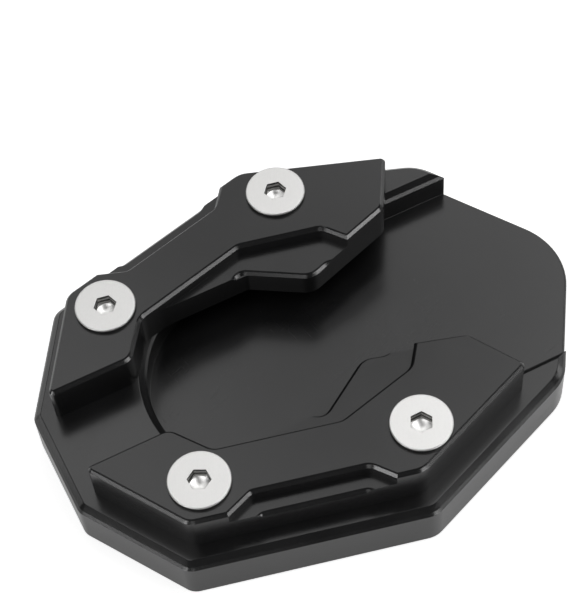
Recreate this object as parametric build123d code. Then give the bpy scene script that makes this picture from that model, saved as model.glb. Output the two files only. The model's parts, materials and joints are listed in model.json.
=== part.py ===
from build123d import *
import math
import os

# Foot plate for a motorcycle side stand: a milled base plate with a pocket for
# the stand's foot, and two clamps with tongues that reach over the foot, held
# by four countersunk socket screws. Millimetres. X runs from the nose to the
# tail and is measured from the nose, Y from the centre line, Z from the ground.

# Base plate, corners of one half of the outline
nose_half_width = 11.4
front_corner_x = 13.2
front_corner_y = 32.4
rear_corner_x = 59.3
rear_corner_y = 43.8
tail_corner_x = 95.5
tail_ledge_width = 5.5
tail_point_length = 19.3
tail_end_length = 3.46
nose_radius = 3.0
front_radius = 3.5
rear_radius = 5.0
tail_radius = 15.0

# Base plate, heights and edges
base_thickness = 11.0
ledge_bevel = 1.05
wall_bevel_width = 0.45
wall_bevel_height = 0.9
floor_bevel = 0.4
ground_bevel = 0.4

# Pocket for the stand's foot, open at the tail
pocket_depth = 7.0
pocket_radius = 24.3
pocket_x = 45.9

# Clamp plates: the outer edges follow the base plate at this margin
clamp_margin = 4.4
clamp_thickness = 9.0
step_depth = 3.0

# Clamp plates, upper edges: a narrow 45 degree bevel over a steep band
rim_bevel = 0.25
rim_band_width = 0.45
rim_band_height = 0.9
cutter_radius = 3.0

# Clamp plates, inner edge from the nose to the tail
heel_y = 8.65
heel_x = 21.2
heel_radius = 3.0
arm_start_x = 26.7
arm_start_y = 16.4
arm_peak_x = 50.7
arm_peak_y = 22.4
horn_root_x = 67.4
horn_root_y = 18.4
horn_tip_x = 70.8
horn_tip_y = 13.85
toe_x = 80.7
toe_y = 17.1
toe_radius = 2.5
end_lean = 59.7
tip_radius = 1.0

# Tongue that reaches over the stand's foot, below the clamp's upper face
tongue_start_y = 17.75
tongue_root_x = 50.1
tongue_root_radius = 1.5
tongue_lean = 32.7
tongue_radius = 4.0
tongue_flank_cut = 11.15
tongue_toe_cut = 1.84

# Waist milled into the clamp's outer edge
waist_depth = 3.45
waist_front_x = 28.9
waist_rear_x = 50.7
waist_front_radius = 2.0
waist_rear_radius = 3.0
waist_front_lean = -20.7
waist_rear_lean = 53.0

# Screws: M6 countersunk, hexagon socket
front_screw_x = 21.5
front_screw_y = 21.75
rear_screw_x = 63.1
rear_screw_y = 30.55
screw_radius = 3.0
screw_length = 16.0
screw_end_bevel = 0.7
head_radius = 6.0
head_rim = 0.5
head_edge = 0.15
head_rise = 1.0
socket_width = 4.0
socket_depth = 2.4
socket_tip_depth = 0.9
socket_turns = (50.0, 32.0, 48.0, 1.0)
thread_gap = 0.05
seat_gap = 0.05
clearance_hole_radius = 3.3
tapped_hole_depth = 8.0

ledge_z = base_thickness
floor_z = base_thickness - pocket_depth
step_z = ledge_z + clamp_thickness - step_depth
clamp_top_z = ledge_z + clamp_thickness
head_top_z = clamp_top_z + head_rise
rim_inset = rim_bevel + rim_band_width


def line_through(start, end):
    """A plan line as a point and a unit direction."""
    return Vector(start), (Vector(end) - Vector(start)).normalized()


def leaning_line(start, degrees):
    """The plan line through a point, turned from the X axis."""
    angle = math.radians(degrees)
    return Vector(start), Vector(math.cos(angle), math.sin(angle))


def shifted(line, distance):
    """The same line moved to its right by a distance."""
    point, along = line
    return point + Vector(along.Y, -along.X) * distance, along


def crossing(first, second):
    """The point where two plan lines meet."""
    point, along = first
    other, across = second
    gap = other - point
    reach = (gap.X * across.Y - gap.Y * across.X) / (along.X * across.Y - along.Y * across.X)
    return point + along * reach


def rounded_face(corners):
    """A face from corners, each a point with the radius that rounds it."""
    points = [point for point, radius in corners]
    radii = [radius for point, radius in corners]
    return make_face(FilletPolyline(*points, radius=radii, close=True))


def top_face(solid):
    """The highest flat face of a solid."""
    return solid.faces().filter_by(Axis.Z).sort_by(Axis.Z)[-1]


# Corners and edges of the base plate's outline
nose_corner = Vector(0, nose_half_width)
front_corner = Vector(front_corner_x, front_corner_y)
rear_corner = Vector(rear_corner_x, rear_corner_y)
tail_corner = Vector(tail_corner_x, pocket_radius + tail_ledge_width)
tail_apex = Vector(tail_corner_x + tail_point_length, 0)
front_edge = line_through(nose_corner, front_corner)
side_edge = line_through(front_corner, rear_corner)
rear_edge = line_through(rear_corner, tail_corner)
tail_edge = line_through(tail_corner, tail_apex)

# The tail corner's radius leaves a straight end to the ledge, up to the pocket
tail_half_angle = math.atan2(tail_corner.Y, tail_point_length)
tail_corner_reach = tail_ledge_width / math.sin(tail_half_angle) - tail_end_length
tail_corner_turn = math.radians(rear_edge[1].get_angle(tail_edge[1]))
tail_corner_radius = tail_corner_reach / math.tan(tail_corner_turn / 2)

# The rounded tail ends short of its apex, and the plate is centred on its length
tail_end_x = tail_apex.X - tail_radius * (1 / math.sin(tail_half_angle) - 1)
to_centre = Pos(-tail_end_x / 2, 0, 0)


def base_outline():
    """The plate's outline, mirrored about the centre line."""
    half = [
        (nose_corner, nose_radius),
        (front_corner, front_radius),
        (rear_corner, rear_radius),
        (tail_corner, tail_corner_radius),
    ]
    other_half = [(Vector(point.X, -point.Y), radius) for point, radius in reversed(half)]
    return rounded_face(half + [(tail_apex, tail_radius)] + other_half)


def double_bevel(solid, bevel, band_width, band_height):
    """The top edges' double bevel: 45 degrees, then a steep narrow band."""
    slant = band_width / band_height
    hidden = bevel * (1 - slant)
    face = top_face(solid)
    solid = chamfer(
        face.edges(),
        length=band_width + bevel - hidden,
        length2=bevel + band_height,
        reference=face,
    )
    face = top_face(solid)
    return chamfer(
        face.edges(),
        length=hidden,
        length2=bevel * math.hypot(1, slant),
        reference=face,
    )


def make_base_plate():
    """The base plate with its pocket, bevels and tapped holes."""
    plate = extrude(base_outline(), base_thickness)
    pocket_length = tail_apex.X - pocket_x
    pocket = Pos(pocket_x, 0) * Circle(pocket_radius)
    pocket += Pos(pocket_x + pocket_length / 2, 0) * Rectangle(pocket_length, 2 * pocket_radius)
    plate -= extrude(Pos(0, 0, floor_z) * pocket, pocket_depth)
    plate = double_bevel(plate, ledge_bevel, wall_bevel_width, wall_bevel_height)
    plate = chamfer(plate.faces().sort_by(Axis.Z)[0].edges(), ground_bevel)
    tail_edges = plate.edges().filter_by_position(Axis.Z, floor_z, floor_z)
    tail_edges = [edge for edge in tail_edges if edge.center().X > tail_corner_x]
    plate = chamfer([e for e in tail_edges if abs(e.center().Y) < pocket_radius - 1], floor_bevel)
    for x, y in screw_places():
        hole = Cylinder(
            screw_radius + thread_gap, tapped_hole_depth, align=(Align.CENTER, Align.CENTER, Align.MAX)
        )
        plate -= Pos(x, y, ledge_z) * hole
    return plate


def screw_places():
    """The four screw axes, front pair first."""
    pairs = ((front_screw_x, front_screw_y), (rear_screw_x, rear_screw_y))
    return [(x, side * y) for x, y in pairs for side in (1, -1)]


# Lines that bound a clamp, the outer ones set in from the base plate's edges
clamp_front = shifted(front_edge, clamp_margin)
clamp_side = shifted(side_edge, clamp_margin)
clamp_rear = shifted(rear_edge, clamp_margin)
heel_line = leaning_line((0, heel_y), 0)
arm_line = line_through((arm_start_x, arm_start_y), (arm_peak_x, arm_peak_y))
toe_line = line_through((horn_tip_x, horn_tip_y), (toe_x, toe_y))
end_line = leaning_line((toe_x, toe_y), end_lean)
tongue_line = leaning_line((tongue_root_x, tongue_start_y), -tongue_lean)
waist_floor = shifted(clamp_side, waist_depth)

heel = crossing(clamp_front, heel_line)
clamp_front_corner = crossing(clamp_front, clamp_side)
clamp_rear_corner = crossing(clamp_side, clamp_rear)
clamp_end_corner = crossing(clamp_rear, end_line)
tongue_start = crossing(arm_line, leaning_line((0, tongue_start_y), 0))
tongue_tip = crossing(tongue_line, toe_line)
waist_front = crossing(waist_floor, leaning_line((waist_front_x, 0), 90))
waist_rear = crossing(waist_floor, leaning_line((waist_rear_x, 0), 90))
waist_front_tip = crossing(clamp_side, leaning_line(waist_front, waist_front_lean))
waist_rear_tip = crossing(clamp_side, leaning_line(waist_rear, waist_rear_lean))


def clamp_lower_outline():
    """The clamp at the ledge: full width, with the tongue."""
    return rounded_face([
        (heel, tip_radius),
        (clamp_front_corner, front_radius),
        (clamp_rear_corner, rear_radius),
        (clamp_end_corner, tip_radius),
        (Vector(toe_x, toe_y), toe_radius),
        (tongue_tip, tongue_radius),
        (Vector(tongue_root_x, tongue_start_y), tongue_root_radius),
        (tongue_start, 0),
        (Vector(arm_start_x, arm_start_y), cutter_radius),
        (Vector(heel_x, heel_y), heel_radius),
    ])


def clamp_upper_outline():
    """The clamp above the step: cut back at the waist and behind the tongue."""
    return rounded_face([
        (heel, tip_radius),
        (clamp_front_corner, front_radius),
        (waist_front_tip, 0),
        (waist_front, waist_front_radius),
        (waist_rear, waist_rear_radius),
        (waist_rear_tip, 0),
        (clamp_rear_corner, rear_radius),
        (clamp_end_corner, tip_radius),
        (Vector(toe_x, toe_y), toe_radius),
        (Vector(horn_tip_x, horn_tip_y), 0),
        (Vector(horn_root_x, horn_root_y), cutter_radius),
        (Vector(arm_peak_x, arm_peak_y), cutter_radius),
        (Vector(arm_start_x, arm_start_y), cutter_radius),
        (Vector(heel_x, heel_y), heel_radius),
    ])


def cutter_sweep(path):
    """The space that the edge cutter clears along a path at the step."""
    neck_z = step_z - rim_bevel
    neck = cutter_radius - rim_bevel
    step_track = Pos(0, 0, step_z) * make_face(offset(path, cutter_radius, side=Side.BOTH))
    neck_track = Pos(0, 0, neck_z) * make_face(offset(path, neck, side=Side.BOTH))
    lean = math.degrees(math.atan2(rim_band_width, rim_band_height))
    flare = extrude(step_track, -rim_bevel, taper=45)
    band = extrude(neck_track, -rim_band_height, taper=lean)
    return flare + band + extrude(step_track, rim_bevel)


def waist_cutter():
    """The cutter's pass outside the waist, as long as the waist's floor."""
    track, along = shifted(clamp_side, rim_inset - cutter_radius)
    half_chord = math.sqrt(cutter_radius**2 - (cutter_radius - rim_inset) ** 2)
    front = track + along * ((waist_front - track).dot(along) + half_chord)
    rear = track + along * ((waist_rear - track).dot(along) - half_chord)
    return cutter_sweep(Wire([Line(front, rear).edge()]))


def tongue_cutter():
    """The cutter's pass round the tongue, from its root to short of the horn."""
    reach = cutter_radius - rim_inset
    flank = shifted(tongue_line, reach)
    toe = shifted(toe_line, reach)
    corner = crossing(flank, toe)
    radius = tongue_radius + reach
    bend = radius * math.tan(math.radians(flank[1].get_angle(toe[1])) / 2)
    start = corner - flank[1] * (bend + tongue_flank_cut)
    end = corner + toe[1] * (bend + tongue_toe_cut)
    return cutter_sweep(FilletPolyline(start, corner, end, radius=radius).wire())


def make_clamp():
    """The clamp on the +Y side."""
    foot = extrude(Pos(0, 0, ledge_z) * clamp_lower_outline(), clamp_thickness - step_depth)
    foot -= waist_cutter()
    foot -= tongue_cutter()
    body = extrude(Pos(0, 0, ledge_z) * clamp_upper_outline(), clamp_thickness)
    body = double_bevel(body, rim_bevel, rim_band_width, rim_band_height)
    clamp = foot + body
    for x, y in screw_places():
        if y > 0:
            clamp -= Pos(x, y, 0) * screw_clearance()
    return clamp


def screw_clearance():
    """The hole and countersink through a clamp."""
    cone_radius = head_radius + seat_gap
    cone_height = cone_radius - clearance_hole_radius
    cone = Cone(
        clearance_hole_radius, cone_radius, cone_height, align=(Align.CENTER, Align.CENTER, Align.MAX)
    )
    hole = Cylinder(clearance_hole_radius, clamp_top_z, align=(Align.CENTER, Align.CENTER, Align.MIN))
    return Pos(0, 0, head_top_z - head_rim) * cone + hole


def make_screw(turn):
    """One screw at the origin, its socket turned about its axis."""
    tip_z = head_top_z - screw_length
    neck_z = head_top_z - head_rim - (head_radius - screw_radius)
    profile = Polyline(
        (0, tip_z),
        (screw_radius - screw_end_bevel, tip_z),
        (screw_radius, tip_z + screw_end_bevel),
        (screw_radius, neck_z),
        (head_radius, head_top_z - head_rim),
        (head_radius, head_top_z - head_edge),
        (head_radius - head_edge, head_top_z),
        (0, head_top_z),
        close=True,
    )
    screw = revolve(Plane.XZ * make_face(profile), Axis.Z)
    corner_radius = socket_width / 2 / math.cos(math.radians(30))
    socket = RegularPolygon(corner_radius, 6, rotation=turn)
    screw -= Pos(0, 0, head_top_z) * extrude(socket, -socket_depth)
    tip = Cone(0, socket_width / 2, socket_tip_depth, align=(Align.CENTER, Align.CENTER, Align.MAX))
    return screw - Pos(0, 0, head_top_z - socket_depth) * tip


def make_screws():
    """The four screws as separate solids."""
    places = screw_places()
    return [Pos(x, y, 0) * make_screw(turn) for (x, y), turn in zip(places, socket_turns)]


left_clamp = make_clamp()
parts = {
    "base_plate": [make_base_plate()],
    "left_clamp": [left_clamp],
    "right_clamp": [mirror(left_clamp, about=Plane.XZ)],
    "clamp_screws": make_screws(),
}

os.makedirs("parts", exist_ok=True)
for name, pieces in parts.items():
    solids = [solid for piece in pieces for solid in (to_centre * piece).solids()]
    export_step(Compound(solids), f"parts/{name}.step")
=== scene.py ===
"""Dressed model of a milled foot plate: a base, two clamps and four screws.

Lengths are in metres unless a name ends in _mm, angles in degrees unless radians() made
them, and a texture's scale in repeats for each metre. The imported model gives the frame.
"""

import json
import logging
import math
from collections.abc import Callable
from dataclasses import dataclass, field
from enum import Enum

import bpy
from mathutils import Matrix, Vector

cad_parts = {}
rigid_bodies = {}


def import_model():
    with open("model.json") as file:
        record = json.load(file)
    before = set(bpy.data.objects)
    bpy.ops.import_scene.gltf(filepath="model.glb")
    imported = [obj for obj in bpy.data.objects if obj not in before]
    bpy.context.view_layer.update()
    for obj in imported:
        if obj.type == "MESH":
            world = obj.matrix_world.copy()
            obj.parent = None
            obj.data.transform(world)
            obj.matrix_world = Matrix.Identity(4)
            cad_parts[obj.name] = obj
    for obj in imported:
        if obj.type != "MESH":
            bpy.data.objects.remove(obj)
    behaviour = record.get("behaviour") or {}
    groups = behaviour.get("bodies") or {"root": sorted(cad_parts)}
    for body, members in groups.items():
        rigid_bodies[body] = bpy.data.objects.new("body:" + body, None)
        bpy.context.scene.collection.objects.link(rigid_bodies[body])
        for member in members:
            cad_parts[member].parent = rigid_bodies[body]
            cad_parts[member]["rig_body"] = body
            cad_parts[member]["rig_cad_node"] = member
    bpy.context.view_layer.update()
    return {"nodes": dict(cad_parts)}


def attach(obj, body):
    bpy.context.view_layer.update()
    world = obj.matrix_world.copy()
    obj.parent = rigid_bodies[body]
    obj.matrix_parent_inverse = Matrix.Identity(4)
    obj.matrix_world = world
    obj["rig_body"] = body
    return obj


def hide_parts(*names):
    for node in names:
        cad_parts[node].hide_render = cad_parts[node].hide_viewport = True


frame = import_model()

MM = 0.001
WELD_GAP = 0.000002
TOUCH = 0.00002
FLAT_ANGLE = math.radians(0.6)
BEVEL_ANGLE = math.radians(38)
SMOOTH_ANGLE = math.radians(24)
ROUND_STEPS = 2
NORMAL_WEIGHT = 60
WALL_TILT = 0.3
NOISE_LOW, NOISE_HIGH = 0.36, 0.64
LOG = logging.getLogger("foot_plate")


class Slot(Enum):
    """Names of the record's material slots, one for each piece; nothing reads them, and each piece
    builds its own finish.
    """

    BASE = "base_plate"
    LEFT_CLAMP = "left_clamp"
    RIGHT_CLAMP = "right_clamp"
    SCREWS = "clamp_screws"


class Lay(Enum):
    """Direction of fine lines in a surface, as degrees about Z."""

    BASE = 20.0
    CROSS = -78.0
    CLAMP = -14.0
    SCREW = 65.0


class ScrewFace(Enum):
    """Regions of a screw that have their own finish, by material number: the socket's walls carry
    painted shade and its bottom painted light.
    """

    OUTSIDE = 0
    SOCKET_WALL = 1
    SOCKET_BOTTOM = 2


def pick_only(piece: bpy.types.Object) -> None:
    """Make a piece the only selected and the active object.

    Args:
        piece: The piece to pick.
    """
    bpy.ops.object.select_all(action="DESELECT")
    piece.select_set(True)
    bpy.context.view_layer.objects.active = piece


def apply_modifier(piece: bpy.types.Object, kind: str, **settings: object) -> None:
    """Add a modifier to a piece and apply it.

    Args:
        piece: The piece to change.
        kind: The modifier's type, in Blender's words.
        settings: The modifier's own values by name.
    """
    pick_only(piece)
    bpy.ops.object.modifier_add(type=kind)
    modifier = piece.modifiers[-1]
    for name, value in settings.items():
        setattr(modifier, name, value)
    bpy.ops.object.modifier_apply(modifier=modifier.name)


def round_edges(piece: bpy.types.Object, width: float) -> None:
    """Round a piece's sharp edges and shade its curved faces smooth.

    Args:
        piece: The piece to change.
        width: The rounding's width.
    """
    apply_modifier(
        piece, "BEVEL", width=width, segments=ROUND_STEPS, limit_method="ANGLE",
        angle_limit=BEVEL_ANGLE, use_clamp_overlap=True,
    )
    pick_only(piece)
    bpy.ops.object.shade_smooth_by_angle(angle=SMOOTH_ANGLE)


def flatten_normals(piece: bpy.types.Object) -> None:
    """Let the large faces rule the shading beside the rounded edges."""
    apply_modifier(piece, "WEIGHTED_NORMAL", keep_sharp=True, weight=NORMAL_WEIGHT)


def draw_ring(rise: float) -> None:
    """Extrude the selected ring of edges along Z."""
    bpy.ops.mesh.extrude_region_move(TRANSFORM_OT_translate={"value": (0.0, 0.0, rise)})


def size_ring(piece: bpy.types.Object, radius: float) -> None:
    """Scale the selected ring about the Z axis to a radius.

    Args:
        piece: The piece that is being edited.
        radius: The ring's new radius.
    """
    bpy.ops.object.mode_set(mode="OBJECT")
    reach = max(vertex.co.xy.length for vertex in piece.data.vertices if vertex.select)
    bpy.ops.object.mode_set(mode="EDIT")
    factor = radius / reach
    bpy.ops.transform.resize(value=(factor, factor, 1.0), center_override=(0.0, 0.0, 0.0))


def select_where(piece: bpy.types.Object, test: Callable[[Vector], bool]) -> None:
    """Select the vertices and edges that pass a test, in edit mode.

    Args:
        piece: The piece that is being edited.
        test: Says for a vertex's place whether it is selected.
    """
    bpy.ops.mesh.select_mode(type="VERT")
    bpy.ops.mesh.select_all(action="DESELECT")
    bpy.ops.object.mode_set(mode="OBJECT")
    for vertex in piece.data.vertices:
        vertex.select = test(vertex.co)
    bpy.ops.object.mode_set(mode="EDIT")
    bpy.ops.mesh.select_mode(type="VERT")
    bpy.ops.mesh.select_mode(type="EDGE")


class NodeGraph:
    """Short way to build a material's nodes and to read its object coordinates."""

    def __init__(self, name: str) -> None:
        """Start an empty material.

        Args:
            name: The material's name.
        """
        self.material = bpy.data.materials.new(name)
        self.material.use_nodes = True
        self.tree = self.material.node_tree
        self.tree.nodes.clear()
        self.shader = self.add("ShaderNodeBsdfPrincipled")
        self.output = self.add("ShaderNodeOutputMaterial")
        self.link(self.shader.outputs["BSDF"], self.output.inputs["Surface"])
        self.place = self.add("ShaderNodeTexCoord").outputs["Object"]

    def add(self, kind: str, **settings: object) -> bpy.types.Node:
        """Add a node and set its own values.

        Args:
            kind: The node's type.
            settings: Values by the name of the node's property.

        Returns:
            The new node.
        """
        node = self.tree.nodes.new(kind)
        for name, value in settings.items():
            setattr(node, name, value)
        return node

    def link(self, start: bpy.types.NodeSocket, end: bpy.types.NodeSocket) -> None:
        """Join an output to an input."""
        self.tree.links.new(start, end)

    def level(self) -> bpy.types.NodeSocket:
        """Read the height above the ground.

        Returns:
            The height.
        """
        axes = self.add("ShaderNodeSeparateXYZ")
        self.link(self.place, axes.inputs["Vector"])
        return axes.outputs["Z"]

    def lined(self, lay: Lay, along: float, across: float) -> bpy.types.NodeSocket:
        """Give coordinates that stretch a pattern into lines along a lay.

        Args:
            lay: The lines' direction.
            along: The pattern's repeats for each metre along the lines.
            across: Its repeats for each metre across them.

        Returns:
            The stretched coordinates.
        """
        turned = self.add("ShaderNodeMapping")
        turned.inputs["Rotation"].default_value = (0.0, 0.0, -math.radians(lay.value))
        scaled = self.add("ShaderNodeMapping")
        scaled.inputs["Scale"].default_value = (along, across, across)
        self.link(self.place, turned.inputs["Vector"])
        self.link(turned.outputs["Vector"], scaled.inputs["Vector"])
        return scaled.outputs["Vector"]

    def noise(
        self, where: bpy.types.NodeSocket, scale: float, detail: float = 2.0, rough: float = 0.5
    ) -> bpy.types.NodeSocket:
        """Add a noise texture.

        Args:
            where: The coordinates it is read at.
            scale: The noise's scale.
            detail: How many finer layers it has.
            rough: How strong the finer layers are.

        Returns:
            The noise's value.
        """
        texture = self.add("ShaderNodeTexNoise")
        texture.inputs["Scale"].default_value = scale
        texture.inputs["Detail"].default_value = detail
        texture.inputs["Roughness"].default_value = rough
        self.link(where, texture.inputs["Vector"])
        return texture.outputs["Fac"]

    def spread(
        self, value: bpy.types.NodeSocket, low: float, high: float, to_low: float, to_high: float
    ) -> bpy.types.NodeSocket:
        """Map a value from one range to another and clamp it.

        Args:
            value: The value to map.
            low: Start of the range it comes from.
            high: End of that range.
            to_low: Start of the range it goes to.
            to_high: End of that range.

        Returns:
            The mapped value.
        """
        node = self.add("ShaderNodeMapRange")
        names = ("From Min", "From Max", "To Min", "To Max")
        for name, number in zip(names, (low, high, to_low, to_high)):
            node.inputs[name].default_value = number
        self.link(value, node.inputs["Value"])
        return node.outputs["Result"]

    def math(
        self, operation: str, first: bpy.types.NodeSocket, second: bpy.types.NodeSocket | float
    ) -> bpy.types.NodeSocket:
        """Combine two values.

        Args:
            operation: The sum to do, in Blender's words.
            first: The first value.
            second: The second value, a socket or a number.

        Returns:
            The result.
        """
        node = self.add("ShaderNodeMath", operation=operation)
        self.link(first, node.inputs[0])
        if isinstance(second, (int, float)):
            node.inputs[1].default_value = second
        else:
            self.link(second, node.inputs[1])
        return node.outputs["Value"]

    def blend(self, parts: tuple[tuple[bpy.types.NodeSocket, float], ...]) -> bpy.types.NodeSocket:
        """Add values up, each times its share.

        Args:
            parts: Each value with its share.

        Returns:
            The sum.
        """
        total = None
        for value, share in parts:
            term = self.math("MULTIPLY", value, share)
            total = term if total is None else self.math("ADD", total, term)
        return total

    def bump(self, height: bpy.types.NodeSocket, depth: float) -> None:
        """Send a height to the shader's normal.

        Args:
            height: The height, 0 to 1.
            depth: The height's real size.
        """
        node = self.add("ShaderNodeBump")
        node.inputs["Distance"].default_value = depth
        node.inputs["Strength"].default_value = 1.0
        self.link(height, node.inputs["Height"])
        self.link(node.outputs["Normal"], self.shader.inputs["Normal"])

    def roughen(
        self, value: bpy.types.NodeSocket, middle: float, spread: float
    ) -> bpy.types.NodeSocket:
        """Turn a noise into a roughness.

        Args:
            value: The noise.
            middle: The roughness at its middle.
            spread: How far the roughness goes to either side.

        Returns:
            The roughness.
        """
        return self.spread(value, NOISE_LOW, NOISE_HIGH, middle - spread, middle + spread)

    def colour(
        self, value: bpy.types.NodeSocket, dark: float, pale: float,
        tint: tuple[float, float, float],
    ) -> None:
        """Drive the base colour between two tones.

        Args:
            value: 0 for the dark tone, 1 for the pale one.
            dark: The dark tone.
            pale: The pale tone.
            tint: What both are multiplied by.
        """
        node = self.add("ShaderNodeMix", data_type="RGBA")
        ends = [socket for socket in node.inputs if socket.type == "RGBA"]
        for socket, tone in zip(ends, (dark, pale)):
            socket.default_value = (*(tone * part for part in tint), 1.0)
        self.link(value, node.inputs["Factor"])
        mixed = [socket for socket in node.outputs if socket.type == "RGBA"][0]
        self.link(mixed, self.shader.inputs["Base Color"])


@dataclass(frozen=True)
class AnodisedFinish:
    """Black anodised aluminium: satin, finely blasted, with faint lines from the cutter."""

    name: str
    lay: Lay
    dark: float = 0.009
    pale: float = 0.015
    roughness: float = 0.22
    roughness_spread: float = 0.03
    shine: float = 1.54
    tint: tuple[float, float, float] = (1.0, 1.0, 1.03)
    tone_low: float = 0.32
    tone_high: float = 0.72
    cloud_scale: float = 85.0
    grain_scale: float = 2600.0
    lines_along: float = 90.0
    lines_across: float = 3600.0
    grain_height: float = 0.0000010
    scuffed_below: float = 0.0
    scuff_fade: float = 0.0003
    scuff_groups: float = 120.0
    scratches_along: float = 170.0
    scratches_across: float = 4200.0
    scratch_tone: float = -0.45
    scratch_rough: float = 0.055
    scratch_depth: float = -0.7

    def build(self) -> bpy.types.Material:
        """Build the material.

        Returns:
            The material.
        """
        graph = NodeGraph(self.name)
        shader = graph.shader
        shader.inputs["IOR"].default_value = self.shine
        cloud = graph.noise(graph.place, self.cloud_scale, 4.0, 0.6)
        grain = graph.noise(graph.place, self.grain_scale, 2.0, 0.55)
        lined = graph.lined(self.lay, self.lines_along, self.lines_across)
        lines = graph.noise(lined, 1.0, 3.0, 0.6)
        tone = graph.blend(((cloud, 0.45), (grain, 0.3), (lines, 0.25)))
        height = graph.blend(((grain, 0.65), (lines, 0.35)))
        rough = graph.roughen(tone, self.roughness, self.roughness_spread)
        if self.scuffed_below:
            scuffs = self.scuffs(graph)
            tone = graph.blend(((tone, 1.0), (scuffs, self.scratch_tone)))
            rough = graph.blend(((rough, 1.0), (scuffs, self.scratch_rough)))
            height = graph.blend(((height, 1.0), (scuffs, self.scratch_depth)))
        shade = graph.spread(tone, self.tone_low, self.tone_high, 0.0, 1.0)
        graph.colour(shade, self.dark, self.pale, self.tint)
        graph.link(rough, shader.inputs["Roughness"])
        graph.bump(height, self.grain_height)
        return graph.material

    def scuffs(self, graph: NodeGraph) -> bpy.types.NodeSocket:
        """Fine crossed scratches in loose groups on the pocket's floor.

        Args:
            graph: The material's nodes.

        Returns:
            1 in a scratch, 0 elsewhere.
        """
        groups = graph.spread(graph.noise(graph.place, self.scuff_groups), 0.42, 0.6, 0.0, 1.0)
        above = self.scuffed_below + self.scuff_fade
        floor = graph.spread(graph.level(), self.scuffed_below, above, 1.0, 0.0)
        marks = None
        for lay, faintest in ((self.lay, 0.6), (Lay.CROSS, 0.64)):
            lined = graph.lined(lay, self.scratches_along, self.scratches_across)
            lines = graph.noise(lined, 1.0, 1.0)
            scratches = graph.spread(lines, faintest, faintest + 0.1, 0.0, 1.0)
            marks = scratches if marks is None else graph.math("MAXIMUM", marks, scratches)
        return graph.math("MULTIPLY", graph.math("MULTIPLY", marks, groups), floor)


@dataclass(frozen=True)
class PlatedFinish:
    """Satin plated steel with a fine grain and faint polishing lines."""

    name: str
    lay: Lay
    tone: float = 0.81
    tone_spread: float = 0.03
    roughness: float = 0.47
    roughness_spread: float = 0.04
    tint: tuple[float, float, float] = (1.0, 0.995, 0.98)
    cloud_scale: float = 420.0
    grain_scale: float = 3400.0
    lines_along: float = 200.0
    lines_across: float = 5200.0
    grain_height: float = 0.0000012
    # ring_pitch and ring_crest place the pale rings of painted reflection; 0 leaves them out.
    ring_pitch: float = 0.0
    ring_crest: float = 0.0

    def build(self) -> bpy.types.Material:
        """Build the material.

        Returns:
            The material.
        """
        graph = NodeGraph(self.name)
        shader = graph.shader
        shader.inputs["Metallic"].default_value = 1.0
        cloud = graph.noise(graph.place, self.cloud_scale, 3.0, 0.55)
        grain = graph.noise(graph.place, self.grain_scale)
        lined = graph.lined(self.lay, self.lines_along, self.lines_across)
        lines = graph.noise(lined, 1.0, 3.0, 0.6)
        tone = graph.blend(((cloud, 0.4), (grain, 0.3), (lines, 0.3)))
        # Pale rings on the socket walls are painted reflection.
        if self.ring_pitch:
            tone = graph.blend(((tone, 0.6), (self.rings(graph), 0.4)))
        shade = graph.spread(tone, NOISE_LOW, NOISE_HIGH, 0.0, 1.0)
        graph.colour(shade, self.tone - self.tone_spread, self.tone + self.tone_spread, self.tint)
        rough = graph.roughen(tone, self.roughness, self.roughness_spread)
        graph.link(rough, shader.inputs["Roughness"])
        graph.bump(graph.blend(((grain, 0.6), (lines, 0.4))), self.grain_height)
        return graph.material

    def rings(self, graph: NodeGraph) -> bpy.types.NodeSocket:
        """Pale level rings round a socket's walls: painted reflection, the lighter band that the
        walls cast on each other.

        Args:
            graph: The material's nodes.

        Returns:
            1 on a pale ring, 0 between two of them.
        """
        height = graph.math("SUBTRACT", graph.level(), self.ring_crest)
        angle = graph.math("MULTIPLY", height, math.tau / self.ring_pitch)
        wave = graph.math("COSINE", angle, 0.0)
        return graph.spread(wave, -1.0, 1.0, 0.0, 1.0)


BASE_FINISH = AnodisedFinish("black_anodised_base", Lay.BASE, scuffed_below=0.0042)
CLAMP_FINISH = AnodisedFinish("black_anodised_clamp", Lay.CLAMP, shine=1.50)
SCREW_FINISH = PlatedFinish("satin_plated_steel", Lay.SCREW)
# The socket walls' dark tone is painted shade, and their pale rings are painted reflection.
SOCKET_WALL_PAINTED_SHADE = PlatedFinish(
    "socket_wall_painted_shade", Lay.SCREW, tone=0.29, tone_spread=0.22, roughness=0.30,
    ring_pitch=0.0011, ring_crest=0.0201,
)
# The drilled bottom's pale tone is painted light.
SOCKET_BOTTOM_PAINTED_LIGHT = PlatedFinish(
    "socket_bottom_painted_light", Lay.SCREW, tone=0.93, tone_spread=0.07, roughness=0.32
)

# Heights of the upper edges of the steep bands under the rims.
BASE_BANDS = (0.00995,)
CLAMP_BANDS = (0.01975, 0.01675)
CLAMP_EDGE_BREAK = 0.00005


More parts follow.
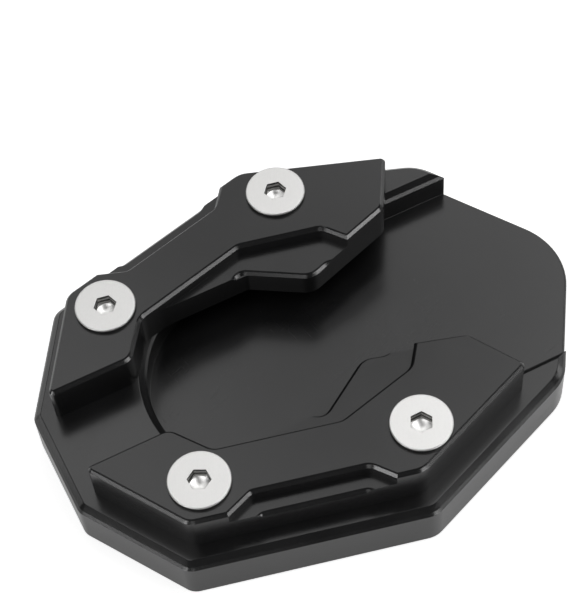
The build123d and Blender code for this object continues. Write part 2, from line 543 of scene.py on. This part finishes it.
@dataclass
class MilledPiece:
    """A milled part copied from its CAD node, with its seams closed and its edges broken.

    band_tops are the heights at which the steep bands start, and band_keep is the share of
    their height that is kept.
    """

    node: str
    name: str
    slot: Slot
    finish: AnodisedFinish | PlatedFinish
    band_tops: tuple[float, ...]
    edge_break: float = 0.00010
    band_height: float = 0.00090
    band_keep: float = 0.72

    def make(self) -> bpy.types.Object:
        """Copy, clean and dress the node.

        Returns:
            The piece, which stands for the node.
        """
        source = frame["nodes"][self.node]
        piece = source.copy()
        piece.data = source.data.copy()
        piece.name = self.name
        piece.data.name = self.name
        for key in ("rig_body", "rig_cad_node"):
            if key in piece:
                del piece[key]
        piece.parent = None
        bpy.context.scene.collection.objects.link(piece)
        self.clean(piece)
        self.ease_bands(piece)
        round_edges(piece, self.edge_break)
        self.keep_creases(piece)
        flatten_normals(piece)
        piece.data.materials.clear()
        piece.data.materials.append(self.finish.build())
        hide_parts(self.node)
        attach(piece, "root")
        return piece

    def clean(self, piece: bpy.types.Object) -> None:
        """Merge the loose triangles and join what lies in one plane.

        Args:
            piece: The copied piece.
        """
        pick_only(piece)
        bpy.ops.object.mode_set(mode="EDIT")
        bpy.ops.mesh.select_all(action="SELECT")
        bpy.ops.mesh.customdata_custom_splitnormals_clear()
        bpy.ops.mesh.remove_doubles(threshold=WELD_GAP)
        bpy.ops.mesh.dissolve_limited(angle_limit=FLAT_ANGLE)
        bpy.ops.object.mode_set(mode="OBJECT")

    def ease_bands(self, piece: bpy.types.Object) -> None:
        """Raise the foot of each steep band, so that it leans back a little more.

        Args:
            piece: The cleaned piece.
        """
        for top in self.band_tops:
            for vertex in piece.data.vertices:
                drop = top - vertex.co.z
                if 0.0 < drop < self.band_height + TOUCH:
                    vertex.co.z = top - drop * self.band_keep

    def keep_creases(self, piece: bpy.types.Object) -> None:
        """Mark the level edges above and below each band sharp.

        Args:
            piece: The piece with its edges rounded.
        """
        for top in self.band_tops:
            for height in (top, top - self.band_height * self.band_keep):
                for edge in piece.data.edges:
                    ends = [piece.data.vertices[index].co.z for index in edge.vertices]
                    if max(abs(end - height) for end in ends) < TOUCH:
                        edge.use_edge_sharp = True


@dataclass(frozen=True)
class ScrewPlace:
    """Where a screw stands and how far its socket is turned."""

    name: str
    x_mm: float
    y_mm: float
    turn: float


@dataclass
class SocketScrews:
    """The four countersunk screws: turned heads with broached hexagon sockets."""

    finish: PlatedFinish
    wall_painted_shade: PlatedFinish
    bottom_painted_light: PlatedFinish
    top_mm: float = 21.0
    head_radius_mm: float = 6.0
    head_edge_mm: float = 0.15
    head_rim_mm: float = 0.5
    shank_radius_mm: float = 3.0
    length_mm: float = 16.0
    end_bevel_mm: float = 0.7
    socket_width_mm: float = 4.0
    socket_depth_mm: float = 2.4
    drill_depth_mm: float = 0.9
    drill_share: float = 0.97
    side_cuts: int = 11
    edge_break_mm: float = 0.05
    places: tuple[ScrewPlace, ...] = (
        ScrewPlace("screw_front_left", -34.4645, 21.75, 50.0),
        ScrewPlace("screw_front_right", -34.4645, -21.75, 32.0),
        ScrewPlace("screw_rear_left", 7.1355, 30.55, 48.0),
        ScrewPlace("screw_rear_right", 7.1355, -30.55, 1.0),
    )

    def build(self) -> list[bpy.types.Object]:
        """Model one screw and stand copies of it at the four places.

        Returns:
            The four screws.
        """
        pattern = self.model_pattern()
        finishes = {
            ScrewFace.OUTSIDE: self.finish,
            ScrewFace.SOCKET_WALL: self.wall_painted_shade,
            ScrewFace.SOCKET_BOTTOM: self.bottom_painted_light,
        }
        materials = [finishes[region].build() for region in ScrewFace]
        screws = []
        for place in self.places:
            screw = pattern.copy()
            screw.data = pattern.data.copy()
            screw.name = place.name
            screw.data.name = place.name
            bpy.context.scene.collection.objects.link(screw)
            screw.location = (place.x_mm * MM, place.y_mm * MM, 0.0)
            screw.rotation_euler = (0.0, 0.0, math.radians(place.turn))
            pick_only(screw)
            bpy.ops.object.transform_apply(location=True, rotation=True, scale=True)
            for material in materials:
                screw.data.materials.append(material)
            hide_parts("clamp_screws")
            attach(screw, "root")
            screws.append(screw)
        bpy.data.objects.remove(pattern)
        return screws

    def model_pattern(self) -> bpy.types.Object:
        """Model the screw on the Z axis at its real height.

        Returns:
            The pattern that the screws are copied from.
        """
        top = self.top_mm * MM
        corner = self.socket_width_mm * MM / 2 / math.cos(math.radians(30))
        bpy.ops.object.select_all(action="DESELECT")
        bpy.ops.mesh.primitive_circle_add(
            vertices=6, radius=corner, fill_type="NOTHING", location=(0, 0, top),
            rotation=(0, 0, math.radians(90)),
        )
        pattern = bpy.context.active_object
        bpy.ops.object.transform_apply(location=True, rotation=True, scale=False)
        bpy.ops.object.mode_set(mode="EDIT")
        bpy.ops.mesh.select_all(action="SELECT")
        bpy.ops.mesh.subdivide(number_cuts=self.side_cuts)
        self.turn_profile(pattern)
        reach = corner + TOUCH
        select_where(pattern, lambda at: abs(at.z - top) < WELD_GAP and at.xy.length < reach)
        self.broach_socket(pattern)
        bpy.ops.mesh.select_all(action="SELECT")
        bpy.ops.mesh.remove_doubles(threshold=WELD_GAP)
        bpy.ops.mesh.normals_make_consistent(inside=False)
        bpy.ops.object.mode_set(mode="OBJECT")
        round_edges(pattern, self.edge_break_mm * MM)
        flatten_normals(pattern)
        self.sort_socket_faces(pattern, corner, top)
        return pattern

    def turn_profile(self, pattern: bpy.types.Object) -> None:
        """Draw the selected socket edge out to the head's rim, down the shank, and close the tip.

        Args:
            pattern: The screw that is being modelled.
        """
        head, shank = self.head_radius_mm, self.shank_radius_mm
        rings = (
            (head - self.head_edge_mm, 0.0),
            (head, self.head_edge_mm),
            (head, self.head_rim_mm),
            (shank, self.head_rim_mm + head - shank),
            (shank, self.length_mm - self.end_bevel_mm),
            (shank - self.end_bevel_mm, self.length_mm),
        )
        draw_ring(0.0)
        bpy.ops.transform.tosphere(value=1.0)
        depth = 0.0
        for radius, next_depth in rings:
            if next_depth > depth:
                draw_ring((depth - next_depth) * MM)
            size_ring(pattern, radius * MM)
            depth = next_depth
        bpy.ops.mesh.edge_face_add()

    def broach_socket(self, pattern: bpy.types.Object) -> None:
        """Sink the selected hexagon into the head and drill its bottom.

        Args:
            pattern: The screw that is being modelled.
        """
        draw_ring(-self.socket_depth_mm * MM)
        draw_ring(0.0)
        bpy.ops.transform.tosphere(value=1.0)
        size_ring(pattern, self.socket_width_mm / 2 * self.drill_share * MM)
        draw_ring(-self.drill_depth_mm * MM)
        bpy.ops.mesh.merge(type="CENTER")

    def sort_socket_faces(self, pattern: bpy.types.Object, corner: float, top: float) -> None:
        """Paint the socket's upright walls dark as painted shade, and its drilled bottom pale as
        painted light.

        Args:
            pattern: The finished screw.
            corner: The hexagon's radius at its corners.
            top: The height of the head's top.
        """
        mouth = top - self.edge_break_mm * MM
        lowest = top - (self.socket_depth_mm + self.drill_depth_mm) * MM
        for face in pattern.data.polygons:
            if face.center.xy.length < corner and lowest < face.center.z < mouth:
                # Upright socket faces get the painted shade, the rest get the painted light.
                upright = abs(face.normal.z) < WALL_TILT
                region = ScrewFace.SOCKET_WALL if upright else ScrewFace.SOCKET_BOTTOM
                face.material_index = region.value


@dataclass(frozen=True)
class SoftLamp:
    """A flat studio lamp aimed at the object, with its power in watts."""

    name: str
    azimuth: float
    elevation: float
    power: float
    width: float = 0.63
    height: float = 0.63
    distance: float = 1.10

    def place(self, target: Vector) -> bpy.types.Object:
        """Add the lamp.

        Args:
            target: The point it is aimed at.

        Returns:
            The lamp's object.
        """
        azimuth, elevation = math.radians(self.azimuth), math.radians(self.elevation)
        flat = math.cos(elevation)
        away = Vector((flat * math.cos(azimuth), flat * math.sin(azimuth), math.sin(elevation)))
        data = bpy.data.lights.new(self.name, "AREA")
        data.shape = "RECTANGLE"
        data.size = self.width
        data.size_y = self.height
        data.energy = self.power
        lamp = bpy.data.objects.new(self.name, data)
        bpy.context.scene.collection.objects.link(lamp)
        lamp.location = target + away * self.distance
        lamp.rotation_euler = away.to_track_quat("Z", "Y").to_euler()
        lamp.visible_camera = False
        return lamp


@dataclass(frozen=True)
class Camera:
    """The photograph's viewpoint."""

    place: tuple[float, float, float] = (-0.075735, -0.176219, 0.317455)
    forward: tuple[float, float, float] = (0.20518, 0.51370, -0.83307)
    right: tuple[float, float, float] = (0.89271, -0.44716, -0.05586)
    lens_mm: float = 110.87
    sensor_mm: float = 36.0

    def set_up(self) -> bpy.types.Object:
        """Add the camera and make it the scene's own.

        Returns:
            The camera's object.
        """
        data = bpy.data.cameras.new("photo_view")
        data.lens = self.lens_mm
        data.sensor_width = self.sensor_mm
        data.sensor_height = self.sensor_mm
        data.sensor_fit = "AUTO"
        camera = bpy.data.objects.new("photo_view", data)
        bpy.context.scene.collection.objects.link(camera)
        back = -Vector(self.forward).normalized()
        right = Vector(self.right).normalized()
        up = back.cross(right).normalized()
        right = up.cross(back)
        turn = Matrix((right, up, back)).transposed()
        camera.matrix_world = Matrix.Translation(Vector(self.place)) @ turn.to_4x4()
        bpy.context.scene.camera = camera
        return camera


@dataclass
class Studio:
    """The pale floor, the lamps and the white surroundings."""

    target: Vector = field(default_factory=lambda: Vector((0.0, 0.0, 0.01)))
    floor_radius: float = 0.17
    floor_tone: float = 0.82
    camera_glow: float = 0.74
    gloss_glow: float = 0.32
    gloss_sky: float = 0.05
    lamps: tuple[SoftLamp, ...] = (
        SoftLamp("high_back", 64, 60, 1.13),
        SoftLamp("high_back_right", 19, 60, 1.17),
        SoftLamp("high_back_left", 109, 60, 1.06),
        SoftLamp("high_left", 199, 60, 2.15),
        SoftLamp("high_right", 334, 60, 2.20),
        SoftLamp("low_back", 45, 40, 0.75, height=0.54),
        SoftLamp("strip_left", 201, 6, 2.70, width=0.60, height=0.14),
        SoftLamp("strip_right", 301, 6, 3.20, width=0.76, height=0.14),
        SoftLamp("strip_tail", 353, 6, 1.03, width=0.70, height=0.18),
        SoftLamp("strip_far", 136, 6, 0.70, width=0.70, height=0.18),
        SoftLamp("strip_front", 240, 11, 0.55, width=0.40, height=0.14),
    )

    def build(self) -> None:
        """Add the floor, the lamps and the world."""
        self.lay_floor()
        for lamp in self.lamps:
            lamp.place(self.target)
        self.set_world()

    def lay_floor(self) -> None:
        """Add a plain pale floor that looks white to the camera and keeps a soft shadow."""
        bpy.ops.object.select_all(action="DESELECT")
        bpy.ops.mesh.primitive_circle_add(
            vertices=96, radius=self.floor_radius, fill_type="NGON", location=(0, 0, 0)
        )
        floor = bpy.context.active_object
        floor.name = "studio_floor"
        graph = NodeGraph("pale_floor")
        graph.shader.inputs["Base Color"].default_value = (self.floor_tone,) * 3 + (1.0,)
        graph.shader.inputs["Roughness"].default_value = 0.9
        graph.shader.inputs["Specular IOR Level"].default_value = 0.0
        rays = graph.add("ShaderNodeLightPath")
        glow = graph.add("ShaderNodeEmission")
        both = graph.add("ShaderNodeAddShader")
        strength = graph.blend((
            (rays.outputs["Is Camera Ray"], self.camera_glow),
            (rays.outputs["Is Transmission Ray"], self.camera_glow),
            (rays.outputs["Is Glossy Ray"], self.gloss_glow),
        ))
        graph.link(strength, glow.inputs["Strength"])
        graph.link(graph.shader.outputs["BSDF"], both.inputs[0])
        graph.link(glow.outputs["Emission"], both.inputs[1])
        graph.link(both.outputs["Shader"], graph.output.inputs["Surface"])
        floor.data.materials.append(graph.material)

    def set_world(self) -> None:
        """Surround the object with a sky, white to the camera and dim in reflections."""
        world = bpy.data.worlds.new("studio")
        bpy.context.scene.world = world
        world.use_nodes = True
        tree = world.node_tree
        sky = tree.nodes["Background"]
        rays = tree.nodes.new("ShaderNodeLightPath")
        seen = tree.nodes.new("ShaderNodeMath")
        strength = tree.nodes.new("ShaderNodeMath")
        strength.operation = "MULTIPLY_ADD"
        strength.inputs[1].default_value = self.gloss_sky
        sky.inputs["Color"].default_value = (1.0, 1.0, 1.0, 1.0)
        tree.links.new(rays.outputs["Is Camera Ray"], seen.inputs[0])
        tree.links.new(rays.outputs["Is Transmission Ray"], seen.inputs[1])
        tree.links.new(rays.outputs["Is Glossy Ray"], strength.inputs[0])
        tree.links.new(seen.outputs["Value"], strength.inputs[2])
        tree.links.new(strength.outputs["Value"], sky.inputs["Strength"])


def main() -> None:
    """Build the camera, the pieces and the studio, in that order."""
    logging.basicConfig(level=logging.INFO, format="%(name)s: %(message)s")
    scene = bpy.context.scene
    scene.view_settings.view_transform = "Standard"
    Camera().set_up()
    pieces = (
        MilledPiece("base_plate", "base_plate_finished", Slot.BASE, BASE_FINISH, BASE_BANDS),
        MilledPiece(
            "left_clamp", "left_clamp_finished", Slot.LEFT_CLAMP, CLAMP_FINISH,
            CLAMP_BANDS, CLAMP_EDGE_BREAK,
        ),
        MilledPiece(
            "right_clamp", "right_clamp_finished", Slot.RIGHT_CLAMP, CLAMP_FINISH,
            CLAMP_BANDS, CLAMP_EDGE_BREAK,
        ),
    )
    for maker in pieces:
        piece = maker.make()
        LOG.info("%s: %d faces", piece.name, len(piece.data.polygons))
    for screw in SocketScrews(SCREW_FINISH, SOCKET_WALL_PAINTED_SHADE, SOCKET_BOTTOM_PAINTED_LIGHT).build():
        LOG.info("%s: %d faces", screw.name, len(screw.data.polygons))
    Studio().build()


if __name__ == "__main__":
    main()
